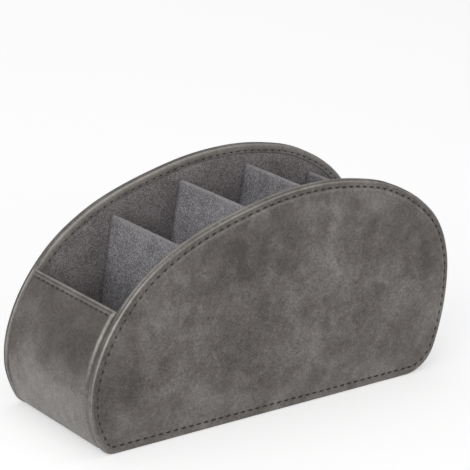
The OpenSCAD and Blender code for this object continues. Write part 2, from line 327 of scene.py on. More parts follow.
# pale lines, partly where the leather is pulled over an edge and partly painted highlight, by distance in
# from the rim (on the face or the hem) or by depth from the outer face: kind, middle, width, strength along
# the rim
frontLines = [
    ("face", 0.95, 0.40, [(0, 0.05), (110, 0.2), (150, 0.35), (180, 0.55), (255, 0.65), (285, 0.45),
                          (305, 0.2), (325, 0.0)]),
    ("face", 0.50, 0.36, [(0, 0.05), (285, 0.0), (305, 0.35), (325, 0.85), (350, 1.0), (368, 0.8),
                          (388, 0.5), (402, 0.3), (420, 0.15), (440, 0.05)]),
    ("side", 2.5, 0.9, [(0, 0.1), (130, 0.2), (170, 0.35), (200, 0.55), (320, 0.6), (338, 0.45),
                        (345, 0.2), (349, 0.0)]),
    ("side", 1.6, 1.4, [(0, 0.0), (368, 0.0), (385, 0.3), (425, 0.3), (440, 0.0)]),
]
backLines = [
    ("side", 4.55, 0.5, [(0, 0.3), (130, 0.4), (200, 0.75), (320, 0.75), (334, 0.35), (340, 0.0)]),
    ("hem", 0.2, 2.2, [(0, 0.2), (130, 0.3), (200, 0.42), (330, 0.42), (340, 0.0)]),
    ("side", 3.3, 0.42, [(0, 0.0), (338, 0.0), (346, 1.5), (372, 1.5), (380, 1.0), (400, 0.7),
                         (425, 0.15)]),
]


def panelSection(soft, q, wallRound):
    # inset and depth of each ring, from inside the stitch line over the rim to the inner hem
    # q is the seam's own inset, and soft is 1 above the end walls
    p = panelLeather
    r, flat, hem, under = holder["rimR"], holder["panelThick"], holder["hemWidth"], p["leather"]
    thick = flat + p["hemFull"] * soft
    inner = min(wallRound + (p["openRound"] - wallRound) * soft, q - 0.95)
    strip = q - 0.6 - r
    rings = [(p["faceStart"], -0.34)] + [(q + a, d) for a, d in faceRings]
    rings += [(q + a, share * p["grooveDepth"]) for a, share in grooveRings]
    dip = p["dip"] * min(1, strip / 2)
    rings += [(r + 0.78 * strip, -0.03), (r + 0.42 * strip, dip), (r + 0.12 * strip, 0.0)]
    turn = [math.radians(90 * i / p["cornerSteps"]) for i in range(p["cornerSteps"] + 1)]
    rings += [(r * (1 - math.sin(a)), r * (1 - math.cos(a))) for a in turn]
    top = thick - inner - r
    rings += [(0.03, r + top * k / p["sideSteps"]) for k in range(1, p["sideSteps"])]
    rings += [(inner * (1 - math.cos(a)), thick - inner * (1 - math.sin(a))) for a in turn]
    rings += [(q + a, thick - d) for a, d in hemRings]
    # round the hem's end and back along the board
    rings += [(5.15, thick - 0.03), (5.35, thick - 0.14), (hem, thick - 0.3)]
    return rings + [(hem, flat - under), (under, flat - under), (under, under)]


def openness(s):
    # 1 above the end walls, 0 along the band; s runs along the rim
    return unit((s - rightTop + rimWalk.run) / 6) * unit((leftTop - s) / 6)


def sewPanelLeather(name):
    p = panelLeather
    count = stitchCount * p["perStitch"]
    steps = [(j / p["perStitch"] + 0.5) * stitchWalk.run / stitchCount for j in range(count)]
    places = [stitchWalk.place(s) for s in steps]
    steps = [s % stitchWalk.run for s in steps]
    sections = [panelSection(openness(alongRim(s)), float(seamInset(s)), p["wallRound"][name]) for s in steps]
    outer = -holder["width"] / 2

    def ringPoints(k):
        return [Vector((x + section[k][0] * nx, outer + section[k][1], z + section[k][0] * nz)) * mm
                for (x, z, nx, nz), section in zip(places, sections)]

    panel = startRing(name, ringPoints(0))
    for k in range(1, len(sections[0])):
        growRing(panel, ringPoints(k))
    bpy.ops.mesh.edge_face_add()  # the hidden face against the board
    front = (outer + sections[0][0][1] + 0.001) * mm
    selectByColumn(panel, lambda v, c: v.co.y < front)
    bpy.ops.mesh.fill_grid(span=count // 4, offset=0)
    endEdit(smoothAngle)
    return panel


def stitchPhase(along):
    # 1 at the middle of a stitch, -1 half way to the next one
    return np.cos(2 * np.pi * (along / (stitchWalk.run / stitchCount) - 0.5))


def nearestRim(co):
    # for each point: how far in it lies from the rim, and where along the stitch line
    count = stitchCount * 8
    s = np.arange(count) / count * stitchWalk.run
    rim = np.array([stitchWalk.place(v)[:2] for v in s])
    inset = np.zeros(len(co))
    along = np.zeros(len(co))
    for i in range(0, len(co), 4000):
        part = co[i:i + 4000]
        gap = (part[:, None, 0] - rim[None, :, 0]) ** 2 + (part[:, None, 2] - rim[None, :, 1]) ** 2
        best = gap.argmin(1)
        inset[i:i + 4000] = np.sqrt(gap[np.arange(len(part)), best])
        along[i:i + 4000] = s[best]
    return inset, along


# broad tones, partly leather blotches and partly painted light and shade: x or y and z of the middle, two
# radii, strength
frontShades = [(-18, 96, 30, 16, -0.9), (60, 112, 30, 9, 0.6), (100, 80, 18, 26, -0.5),
               (112, 40, 12, 22, 0.8), (-60, 84, 26, 9, -0.4), (0, 6, 130, 9, 0.4),
               (-85, 45, 30, 40, -0.35), (0, 50, 34, 26, 0.2)]
backShades = [(-40, 90, 30, 20, 0.5), (50, 50, 40, 24, -0.6), (-70, 30, 26, 16, 0.4)]
wallShades = [(0, 62, 60, 17, -0.6), (-20, 52, 16, 9, -0.5), (28, 60, 12, 7, 0.5), (0, 10, 90, 20, 1.5),
              (0, 30, 90, 9, 0.5)]


def blotchesAndLight(shades, across, z):
    return sum(v * np.exp(-((across - a) / wide) ** 2 - ((z - b) / high) ** 2)
               for a, b, wide, high, v in shades)


def paleLines(lines, depth, inset, along):
    pale = np.zeros(len(depth))
    on = {"face": depth < 1.2, "side": inset < 2.2, "hem": depth > holder["panelThick"] - 0.6}
    for kind, middle, width, stations in lines:
        strength = between(stations, alongRim(along))
        away = (depth if kind == "side" else inset) - middle
        pale = np.maximum(pale, bell(away, width) * strength * on[kind])
    return pale


def relaxPanel(panel, seed, lines, shades):
    # puckers at the stitches, the swell of the face and slow waves
    p = panelLeather
    co = readPoints(panel)
    inset, along = nearestRim(co)
    side = -1 if co[:, 1].mean() < 0 else 1  # the front panel faces -Y
    depth = holder["width"] / 2 - side * co[:, 1]
    # pale lines, partly the leather's pull over its edges and partly painted highlight
    pale = paleLines(lines, depth, inset, along)
    phase = stitchPhase(along)
    loose = (1 - p["betweenStitches"]) / 2
    onFace = depth < 0.7
    onHem = (depth > holder["panelThick"] - 0.6) & (inset < 5.2)
    seam = seamInset(along)
    groove = bell(inset - seam, p["grooveWidth"])
    lift = p["grooveDepth"] * loose * (1 - phase)
    uneven = [noise.noise(Vector((a / p["wobbleSize"], seed, 0))) for a in along]
    wobble = 1 + p["wobble"] * np.array(uneven)
    co[:, 1] += side * np.where(onFace, groove * lift * wobble, 0)
    co[:, 1] -= side * np.where(onHem, groove * 0.6 * lift, 0)
    # leather pulled towards each stitch makes small hills on both sides of the line
    hills = sum(bell(inset - seam - at, width) * height * (1 - phase) for at, width, height in p["hills"])
    co[:, 1] += side * np.where(onFace, hills, 0)
    swell = p["puff"] * (1 - np.exp(-np.clip(inset - p["faceStart"], 0, None) / p["puffRun"]))
    co[:, 1] += side * np.where(onFace & (inset > p["faceStart"] - 0.1), swell, 0)
    soft = np.clip((inset - 4.4) / 10, 0, 1)
    for i in np.nonzero(onFace)[0]:
        wave = drift(co[i], p["wavesSize"], seed) * p["waves"]
        wave += drift(co[i], p["ripplesSize"], seed + 2) * p["ripples"]
        co[i, 1] += side * wave * (0.25 + 0.75 * soft[i])
    # the rim isn't quite straight
    for i in np.nonzero((inset < 1.0) & (depth < holder["panelThick"] - 0.4))[0]:
        bump = sum(drift(co[i], size, seed + k) * height for size, k, height in p["rimBumps"])
        co[i, 0] += bump
        co[i, 2] += bump * 0.5
    co[:, 2] = np.clip(co[:, 2], 0, None)
    writePoints(panel, co)

    # painted shade in the stitch groove, on the face and on the hem
    faceShade, hemShade = np.clip(0.5 + 0.5 * phase, 0, 1), 0.3 + 0.2 * phase
    grooveShade = groove * np.where(onFace, faceShade, np.where(onHem, hemShade, 0))
    s = alongRim(along)
    grooveShade *= 1 + p["deeperRight"] * bell(s - 65, 45) * onFace
    # painted shade in the dip beside the rim, along the base and in the gap towards the left wall
    base = np.clip((s - p["baseFrom"]) / 8, 0, 1)
    at, width, strength = p["dipShade"]
    roomy = np.clip((seam - 3.4) / 0.6, 0, 1)
    grooveShade += strength * bell(inset - at - p["baseShift"] * base, width) * onFace * roomy
    at, width, strength = p["baseShade"]
    grooveShade += strength * bell(inset - at, width) * onFace * base
    atWall = np.clip((s - leftTop) / 3, 0, 1) * np.clip((co[:, 2] - 40) / 15, 0, 1) * (s < 420)
    if side < 0:
        at, width, strength = p["gapShade"]
        grooveShade += strength * bell(depth - at, width) * (inset < 2.3) * atWall
    # painted highlight where the first hill inside the seam swells
    at, width, strength = p["hillHighlight"]
    hillHighlight = strength * bell(inset - seam - at, width)
    pale = np.maximum(pale, hillHighlight * onFace * between(p["hillRun"], s))
    crease = sum(k * bell(co[:, 0] - x, w) for x, w, k in p["creaseSpots"])
    crease = crease * np.exp(-np.clip(inset - 4, 0, None) / 9) * (inset > 4) * onFace * (co[:, 2] > 60)
    # blotches and painted light and shade on the face, and painted light on the inner hem
    blotch_and_painted_light = blotchesAndLight(shades, co[:, 0], co[:, 2]) * onFace + p["hemShade"] * onHem
    for name, values in (("wear_and_highlight", pale), ("groove", grooveShade), ("crease", crease), ("blotch_and_painted_light", blotch_and_painted_light),
                         ("along", along), ("inward", inset)):
        setAttribute(panel, name, values)


frontLeather = sewPanelLeather("front_panel_leather")
backLeather = sewPanelLeather("back_panel_leather")
mirrorPiece(backLeather)
relaxPanel(frontLeather, 1, frontLines, frontShades)
relaxPanel(backLeather, 4, backLines, backShades)
finishPiece(frontLeather, "leather", "front_leather")
finishPiece(backLeather, "leather", "back_leather")
print("panel leather:", len(frontLeather.data.polygons), "faces each")


# suede lining on the inner faces of the panels
panelLining = {"perStitch": 2, "gap": 0.12, "round": 0.35, "waves": 0.12, "wavesSize": 30}


def sewPanelLining(name, seed):
    p = panelLining
    count = stitchCount * p["perStitch"]
    count -= count % 2
    places = [stitchWalk.place(j / count * stitchWalk.run) for j in range(count)]
    edge = holder["hemWidth"] + p["gap"]
    r = p["round"]

    def ringPoints(inset, y):
        return [Vector((x + inset * nx, y, z + inset * nz)) * mm for x, z, nx, nz in places]

    lining = startRing(name, ringPoints(edge, -innerHalf - 1.0))
    bpy.ops.mesh.edge_face_add()
    selectByColumn(lining, lambda v, c: True)
    growRing(lining, ringPoints(edge, -innerHalf - r))
    growRing(lining, ringPoints(edge + 0.1 * r, -innerHalf - 0.45 * r))
    growRing(lining, ringPoints(edge + 0.5 * r, -innerHalf - 0.1 * r))
    growRing(lining, ringPoints(edge + 1.2 * r, -innerHalf))
    bpy.ops.mesh.fill_grid(span=count // 4, offset=0)
    endEdit(smoothAngle)
    co = readPoints(lining)
    for i in np.nonzero(co[:, 1] > -innerHalf - 0.01)[0]:
        co[i, 1] += p["waves"] * (drift(co[i], p["wavesSize"], seed) - 0.5)
    writePoints(lining, co)
    return lining


frontLining = sewPanelLining("front_panel_lining", 11)
backLining = sewPanelLining("back_panel_lining", 14)
mirrorPiece(backLining)
finishPiece(frontLining, "lining", "front_lining")
finishPiece(backLining, "lining", "back_lining")
print("panel linings")


# the band: end walls and base in one strip
band = {
    "edgeWidth": 2.2, "edgeDrop": 1.3,  # the rolled front edge
    "backEdgeWidth": 0.6, "backEdgeDrop": 0.25,  # the rear edge lies close against its panel
    "fullness": 0.5,  # how far the end walls swell out towards the rims
    "foldFullness": 0.35, "foldRun": 4.2,  # and the doubled leather at their tops
    "foldHeight": 0.65, "foldSteps": 9,  # the fold over a wall's top is flatter than a half circle
    "grooveDepth": 0.28, "grooveWidth": 0.5, "betweenStitches": 0.45,
    "hills": 0.06, "hillsWidth": 1.6,
    "waves": 0.22, "wavesSize": 34, "ripples": 0.04, "ripplesSize": 10,
    "bulge": 0.12,  # between the row of stitches and the fold
    "foldWaves": 0.09, "foldWavesSize": 7, "foldEnd": 0.3,
    "crest": (1.85, 1.0),  # pale line beside the front edge, partly stretch and partly painted highlight: distance in, width
    "ridge": (0.90, 0.09, 0.85),  # pale line over the fold, partly stretch and partly painted highlight: share of the turn, width, strength
    "stitchLine": (1.1, 0.35, 0.35),  # pale line above the stitches, partly stretch and partly painted highlight: distance, width, strength
    # painted shade in the gap along the upper front edge
    "edgeShade": 0.6,
    "step": 3.0, "baseStep": 5.0, "backSteps": 64,
}
rowPlaces = [0.6, 1.2, 1.7, 2.1, 2.45, 2.8, 3.15, 3.5, 3.9, 4.4, 5.2, 6.4, 7.7]  # rings below a wall's top
hemEnd = [(8.5, 0), (8.85, 0.14), (9.0, 0.45)]  # the last rings of a hem and how far they turn in


def rimPoint(s, inset):
    x, z, nx, nz = rimWalk.place(s)
    return Vector((x + inset * nx, 0, z + inset * nz))


def rimInward(s):
    nx, nz = rimWalk.place(s)[2:]
    return Vector((nx, 0, nz))


def fromTop(s):
    # distance along the band from the nearer wall's top
    return min(abs(s - leftTop), abs(s - rightTop))


def wallInset(s):
    # how deep the band's outer face lies below the rims
    b = band
    wall = unit((0.97 - rimWalk.place(s)[3]) / 0.25)
    return holder["bandRecess"] - wall * b["fullness"] - b["foldFullness"] * hump(fromTop(s), b["foldRun"])


def foldOver(top, up):
    # a flattened half turn over the end of a wall, from its inner side to its outer side
    r = (holder["bandInside"] - wallInset(top)) / 2
    centre = rimPoint(top, wallInset(top) + r)
    inward = rimInward(top)
    along = Vector((-inward.z, 0, inward.x)) * up
    flat, steps = band["foldHeight"], band["foldSteps"]
    fold = []
    for i in range(1, steps + 1):
        a = math.pi * i / (steps + 1)
        facing = (math.cos(a) * flat * inward + math.sin(a) * along).normalized()
        place = centre + r * (math.cos(a) * inward + math.sin(a) * flat * along)
        fold.append((place, facing, (1 - math.cos(a)) / 2, "fold", top))
    return fold


def outerStations():
    inner = [leftTop + v for v in rowPlaces]
    last = [rightTop - v for v in reversed(rowPlaces)]
    here, stations = inner[-1], []
    baseStart = rimWalk.starts[8] + 4
    baseEnd = rimWalk.run - 4
    while True:
        here += band["baseStep"] if baseStart < here < baseEnd else band["step"]
        if here > last[0] - 1.5:
            break
        stations.append(here)
    return [leftTop] + inner + stations + last + [rightTop]


def bandRing():
    # each point: place, direction in which its surface faces, share of the edge roll, kind
    h = holder
    ring = []

    def add(s, inset, facing, share, kind):
        ring.append((rimPoint(s, inset), rimInward(s) * facing, share, kind, s))

    hems = [(v, 0) for v in [0.0] + rowPlaces] + hemEnd
    backs = [h["wallHem"], h["wallHem"] / 2, -0.5]
    for v, tuck in reversed(hems):
        add(leftTop + v, h["bandInside"] - tuck, 1, 0, "hem")
    ring += foldOver(leftTop, 1)
    for s in outerStations():
        add(s, wallInset(s), -1, 1, "face")
    ring += reversed(foldOver(rightTop, -1))
    for v, tuck in hems:
        add(rightTop - v, h["bandInside"] - tuck, 1, 0, "hem")
    for v in backs:
        add(rightTop - v, h["liningIn"], 0, 0, "back")
    count = band["backSteps"]
    for i in range(count + 1):
        add(rightTop + 0.5 + (leftTop - rightTop - 1.0) * i / count, h["boardIn"], 0, 0, "back")
    for v in reversed(backs):
        add(leftTop + v, h["liningIn"], 0, 0, "back")
    return ring


def edgeRoll(y):
    b = band
    width, drop = (b["edgeWidth"], b["edgeDrop"]) if y < 0 else (b["backEdgeWidth"], b["backEdgeDrop"])
    t = min(1, (innerHalf - abs(y)) / width)
    return drop * (1 - math.sqrt(1 - (1 - t) ** 2))


def bandLevels():
    pitch = holder["stitchPitch"] / 4
    middle = [k * pitch for k in range(-30, 31)]
    ends = [37.3, 37.8, 38.3, 38.7, 39.0, 39.25, 39.5, 39.75, 39.95, 40.15, 40.3, 40.42, innerHalf]
    return [-v for v in reversed(ends)] + middle + ends


def sewBandLeather():
    ring = bandRing()

    def levelPoints(y):
        drop = edgeRoll(y)
        return [(p - facing * drop * share + Vector((0, y, 0))) * mm for p, facing, share, _, _ in ring]

    levels = bandLevels()
    piece = startRing("band_leather_strip", levelPoints(levels[0]))
    for y in levels[1:]:
        growRing(piece, levelPoints(y))
    closeEnds(piece)
    endEdit(smoothAngle)
    return piece, ring


def columnsOf(piece):
    columns = np.zeros(len(piece.data.vertices), int)
    piece.data.attributes["column"].data.foreach_get("value", columns)
    return columns


def relaxBand(piece, ring, seed):
    b = band
    drop = holder["wallStitchDrop"]
    co = readPoints(piece)
    wear_and_highlight = np.zeros(len(co))
    groove = np.zeros(len(co))
    along = np.zeros(len(co))
    for i, c in enumerate(columnsOf(piece)):
        _, facing, share, kind, s = ring[c]
        along[i] = s
        if kind == "back":
            continue
        onFace, onFold = kind == "face", kind == "fold"
        y = co[i, 1]
        fromEnd = innerHalf - abs(y)
        top = fromTop(s)
        phase = math.cos(2 * math.pi * y / holder["stitchPitch"])
        row = 0 if onFold else hump(top - drop, b["grooveWidth"])
        row *= unit((fromEnd - 1.5) / 1.5)
        loose = 0.5 * (1 + b["betweenStitches"]) + 0.5 * (1 - b["betweenStitches"]) * phase
        move = -b["grooveDepth"] * row * loose
        calm = min(1, fromEnd / 6)
        if onFace:
            move += b["hills"] * hump(top - drop, b["hillsWidth"]) * (1 - phase) * (1 - row)
            move += drift(co[i], b["wavesSize"], seed) * b["waves"] * calm * (1 if co[i, 2] > 6 else 0.2)
            move += drift(co[i], b["ripplesSize"], seed + 3) * b["ripples"]
            move += b["bulge"] * math.sin(math.pi * min(1, top / drop)) * (top < drop)
        if onFold:
            move += drift(co[i], b["foldWavesSize"], seed + 1) * b["foldWaves"] * calm
            move += b["foldEnd"] * hump(fromEnd - 1.3, 0.9) * math.sin(math.pi * share)
        for k in range(3):
            co[i, k] += facing[k] * move
        # pale crest, fold ridge, line and knob, partly stretch and partly painted highlight; the crest only
        # high on the front edge
        upper = unit((co[i, 2] - 40) / 20) if y < 0 else 0
        line = hump(fromEnd - b["crest"][0], b["crest"][1]) * upper * unit(top - 1.0) * onFace
        ridge, knob = 0, 0
        if onFold:
            at, width, strength = b["ridge"]
            ridge = strength * hump(share - at, width)
        if onFace:
            away, width, strength = b["stitchLine"]
            ridge = strength * hump(top - drop + away, width)
            knob = (y < 0) * hump(fromEnd - 1.2, 0.9) * hump(top - 0.8, 1.2)
        wear_and_highlight[i] = min(1, line + ridge + knob)
        # painted shade in the stitch row and in the gap along the upper front edge
        groove[i] = row * (0.6 + 0.4 * phase) + b["edgeShade"] * upper * hump(fromEnd, 0.6)
    co[:, 2] = np.clip(co[:, 2], 0.05, None)
    writePoints(piece, co)
    # blotches and painted light on the walls, which are painted paler towards the foot
    blotch_and_painted_light = blotchesAndLight(wallShades, co[:, 1], co[:, 2]) * (co[:, 2] > 1)
    none = np.zeros(len(co))
    for name, values in (("wear_and_highlight", wear_and_highlight), ("groove", groove), ("crease", none), ("blotch_and_painted_light", blotch_and_painted_light),
                         ("along", along), ("inward", none)):
        setAttribute(piece, name, values)


bandLeather, bandPlaces = sewBandLeather()
relaxBand(bandLeather, bandPlaces, 8)
finishPiece(bandLeather, "leather", "band_leather")
print("band leather:", len(bandLeather.data.polygons), "faces")


# lining inside the band
bandLining = {
    "levels": 22, "stations": 90, "gap": 0.1, "tuck": 0.15, "endTuck": 0.2,
    "waves": 0.14, "wavesSize": 22, "unevenFrom": 4.8, "unevenTo": 5.6,  # heights on the base
}


def sewBandLining():
    h, b = holder, bandLining
    s0, s1 = leftTop + h["wallHem"] + b["gap"], rightTop - h["wallHem"] - b["gap"]
    face = [s0 + (s1 - s0) * i / b["stations"] for i in range(b["stations"] + 1)]
    inner = [(s, h["bandInside"] - (b["endTuck"] if s in (face[0], face[-1]) else 0)) for s in face]
    ring = inner + [(s, h["liningIn"]) for s in reversed(face)]

    def levelPoints(y, tuck=0.0):
        shift = Vector((0, y, 0))
        return [(rimPoint(s, d - (tuck if d > h["liningIn"] else 0)) + shift) * mm for s, d in ring]

    n = b["levels"]
    middle = [((2 * i / n - 1) * (innerHalf - 0.5), 0) for i in range(n + 1)]
    levels = [(-innerHalf, b["tuck"])] + middle + [(innerHalf, b["tuck"])]
    piece = startRing("band_lining_strip", levelPoints(*levels[0]))
    for level in levels[1:]:
        growRing(piece, levelPoints(*level))
    closeEnds(piece)
    endEdit(smoothAngle)
    co = readPoints(piece)
    onBase = (co[:, 2] > b["unevenFrom"]) & (co[:, 2] < b["unevenTo"]) & (np.abs(co[:, 1]) < innerHalf - 0.2)
    for i in np.nonzero(onBase)[0]:
        co[i, 2] += b["waves"] * (drift(co[i], b["wavesSize"], 21) - 0.6)
    writePoints(piece, co)
    return piece


bandLiningPiece = sewBandLining()
finishPiece(bandLiningPiece, "lining", "band_lining")
print("band lining")


# velvet covers of the dividers
divider = {
    "lead": 69, "tail": 36.5, "lean": 9, "drop": 11.5, "count": 4,
    "board": 1.8, "velvet": 0.7,
    "levels": 26, "sideSteps": 18, "endRound": 0.3,
    "waves": 0.16, "wavesSize": 28, "ripples": 0.04, "ripplesSize": 9,
    "slack": 0.05, "topSlack": 0.08,  # the cover stands off its board a little, more so near the top
    # runs of the painted sheen on the top edge and of the painted light lower down, width of the painted
    # shade at the ends
    "sheenRun": 1.6, "lowerLightRun": 45, "cornerWidth": 0.9,
}


def rimHeight(x):
    # height of the rim above a place along the holder
    best = 0
    for k in (2, 3, 4, 5):
        (cx, cz), r, a, b = arcs[k]
        if abs(x - cx) < r:
            z = cz + math.sqrt(r * r - (x - cx) ** 2)
            angle = math.degrees(math.atan2(z - cz, x - cx))
            if a - 1e-6 <= angle <= b + 1e-6:
                best = z
    return best


def dividerAxis(i):
    d = divider
    pitch = (holder["length"] - d["lead"] - d["tail"]) / (d["count"] - 1)
    topX = d["lead"] - holder["length"] / 2 + i * pitch
    topZ = rimHeight(topX) - d["drop"]
    lean = math.radians(d["lean"])
    foot = Vector((topX - (topZ - holder["bandInside"]) * math.tan(lean), 0, holder["bandInside"]))
    return foot, Vector((math.sin(lean), 0, math.cos(lean))), (topZ - holder["bandInside"]) / math.cos(lean)


def coverDivider(i):
    d = divider
    foot, up, long = dividerAxis(i)
    right = Vector((up.z, 0, -up.x))
    half = d["board"] / 2 + d["velvet"]
    inner = d["board"] / 2
    steps = d["sideSteps"]

    def side(sign, w):
        # the foot is cut level with the base
        low = foot + right * w * sign
        low += up * (foot.z - low.z) / up.z
        start = (low - foot).dot(up)
        top = long - w - (d["velvet"] if w < half else 0)
        return [foot + right * w * sign + up * (start + (top - start) * k / steps) for k in range(steps + 1)]

    def cap(w, top, count):
        turns = [math.pi * (1 - k / count) for k in range(1, count)]
        return [foot + up * top + w * (math.cos(a) * right + math.sin(a) * up) for a in turns]

    outer = side(-1, half) + cap(half, long - half, 8) + list(reversed(side(1, half)))
    hollow = side(-1, inner) + cap(inner, long - d["velvet"] - inner, 4) + list(reversed(side(1, inner)))
    ring = [(p, True) for p in outer] + [(p, False) for p in reversed(hollow)]

    def levelPoints(y, shrink):
        made = []
        for p, isOuter in ring:
            q = p.copy()
            if isOuter:
                fromAxis = (q - foot).dot(right)
                q -= right * max(-1, min(1, fromAxis / half)) * shrink
                if (q - foot).dot(up) > long - half:
                    q -= up * shrink * 0.8
            made.append((q + Vector((0, y, 0))) * mm)
        return made

    r = d["endRound"]
    n = d["levels"]
    ends = [(innerHalf, 0.45 * r), (innerHalf - 0.12 * r, 0.25 * r), (innerHalf - 0.45 * r, 0.08 * r)]
    middle = [((2 * k / n - 1) * (innerHalf - r), 0) for k in range(n + 1)]
    levels = [(-y, s) for y, s in ends] + middle + list(reversed(ends))
    piece = startRing("divider_%d_velvet" % (i + 1), levelPoints(*levels[0]))
    for level in levels[1:]:
        growRing(piece, levelPoints(*level))
    closeEnds(piece)
    endEdit(smoothAngle)
    columns = columnsOf(piece)
    co = readPoints(piece)
    edge = np.zeros(len(co))
    lower_painted_light = np.zeros(len(co))
    for k in np.nonzero(columns < len(outer))[0]:
        p = Vector(co[k])
        height = (p - foot).dot(up)
        fromAxis = (p - foot).dot(right)
        across = co[k] * np.array([0, 1, 1])
        calm = min(1, height / 8) * min(1, (innerHalf - abs(co[k, 1])) / 5)
        bow = drift(across, d["wavesSize"], 31 + i) * d["waves"] * calm
        bow += drift(across, d["ripplesSize"], 37 + i) * d["ripples"] * calm
        bow += (d["slack"] + d["topSlack"] * hump(height - long + 1.6, 1.5)) * (1 if fromAxis > 0 else -1)
        for j in range(3):
            co[k, j] += right[j] * bow
        # painted sheen along the folded top edge
        edge[k] = math.exp(-max(0, long - height) / d["sheenRun"])
        # painted light: lower parts of the second to fourth covers are made paler
        if i > 0:
            lower_painted_light[k] = unit((long - height - 6) / d["lowerLightRun"])
    writePoints(piece, co)
    setAttribute(piece, "wear_and_highlight", edge)
    setAttribute(piece, "lower_painted_light", lower_painted_light)
    # painted shade where the cover meets the panels
    setAttribute(piece, "corner", bell(innerHalf - np.abs(co[:, 1]), d["cornerWidth"]))
    return piece


velvetCovers = []
for i in range(divider["count"]):
    cover = coverDivider(i)
    finishPiece(cover, "velvet", "divider_%d_cover" % (i + 1))
    velvetCovers.append(cover)
print("divider covers:", len(velvetCovers))


# stitches
thread = {
    "radius": 0.36, "sides": 8, "dive": 0.42, "slant": 4, "proud": 0.2,
    "cuts": (-0.88, -0.6, -0.2, 0.2, 0.6, 0.88), "taper": 0.45, "flat": 0.9,
    "hemShare": 0.6, "sink": 0.05, "wallSink": 0.03, "wallCount": 15,
}


def makeStitch():
    # along X, standing up towards +Z from the leather's face at z = 0
    t = thread
    half = holder["stitchLength"] / 2
    deselectAll()
    bpy.ops.mesh.primitive_cylinder_add(vertices=t["sides"], radius=t["radius"] * mm, depth=2 * half * mm,
                                        end_fill_type="NGON", rotation=(0, math.pi / 2, 0))
    stitch = bpy.context.object
    stitch.name = "one_stitch"
    bpy.ops.object.transform_apply(location=True, rotation=True, scale=True)
    bpy.ops.object.mode_set(mode="EDIT")
    for x in t["cuts"]:
        bpy.ops.mesh.select_all(action="SELECT")
        bpy.ops.mesh.bisect(plane_co=(x * half * mm, 0, 0), plane_no=(1, 0, 0))
    bm = bmesh.from_edit_mesh(stitch.data)
    for v in bm.verts:
        u = v.co.x / (half * mm)
        slim = 1 - t["taper"] * abs(u) ** 4
        v.co.y *= slim
        rise = t["proud"] - t["radius"] * t["flat"] - t["dive"] * abs(u) ** 3
        v.co.z = v.co.z * slim * t["flat"] + rise * mm
    bmesh.update_edit_mesh(stitch.data)
    endEdit(60)
    return stitch


oneStitch = makeStitch()


def layStitches(name, places):
    # places: point, heading of the thread, the way that the leather faces, share of a full stitch
    copies = []
    for k, (point, heading, facing, share) in enumerate(places):
        tilt = math.radians(thread["slant"] * (1 + 0.5 * noise.noise(Vector((k * 1.7, 3.3, 0)))))
        heading, facing = heading.normalized(), facing.normalized()
        side = facing.cross(heading)
        heading = heading * math.cos(tilt) + side * math.sin(tilt)
        side = facing.cross(heading)
        turn = Matrix((heading, side, facing)).transposed().to_4x4()
        mesh = oneStitch.data.copy()
        mesh.transform(Matrix.Translation(point * mm) @ turn @ Matrix.Diagonal((share, 1, 1, 1)))
        copy = bpy.data.objects.new(name, mesh)
        bpy.context.scene.collection.objects.link(copy)
        copies.append(copy)
    pick(*copies)
    bpy.ops.object.join()
    row = bpy.context.object
    row.name = row.data.name = name
    return row


def panelStitches(side):
    h = holder
    places = []
    for k in range(stitchCount):
        s = (k + 0.5) * stitchWalk.run / stitchCount
        inset, share = float(seamInset(s)), stitchShare(s)
        x, z, nx, nz = stitchWalk.place(s)
        point = Vector((x + inset * nx, 0, z + inset * nz))
        heading = Vector((nz, 0, -nx))
        face = Vector((0, side, 0))
        places.append((point + face * (h["width"] / 2 - thread["sink"]), heading, face, share))
        top = h["leftWallTop"] if point.x < h["crownX"] else h["rightWallTop"]
        if point.z > top + h["stitchLength"]:
            onHem = point + face * (innerHalf - panelLeather["hemFull"])
            places.append((onHem, heading, -face, thread["hemShare"]))
    return places


def wallStitches(top, down):
    h = holder
    s = top + down * h["wallStitchDrop"]
    facing = -rimInward(s)
    outside = rimPoint(s, wallInset(s) + thread["wallSink"])
    inside = rimPoint(s, h["bandInside"] - thread["wallSink"])
    rows = thread["wallCount"]
    places = []
    for k in range(rows):
        across = Vector((0, 1, 0))
        shift = across * (k - (rows - 1) / 2) * h["stitchPitch"]
        places.append((outside + shift, across, facing, 1))
        places.append((inside + shift, across, -facing, 1))
    return places


seams = [
    ("front_panel_seam", panelStitches(-1), "front_stitching"),
    ("back_panel_seam", panelStitches(1), "back_stitching"),
    ("left_wall_seam", wallStitches(leftTop, 1), "left_wall_stitching"),
    ("right_wall_seam", wallStitches(rightTop, -1), "right_wall_stitching"),
]
seamPieces = []
for name, places, node in seams:
    seam = layStitches(name, places)
    finishPiece(seam, "thread", node)
    seamPieces.append(seam)
bpy.data.objects.remove(oneStitch)
print("stitches:", sum(len(places) for name, places, node in seams))


# felt under the base
felt = {"columns": 40, "rows": 14, "softEdge": 0.3, "fuzz": 0.06, "fuzzSize": 6}


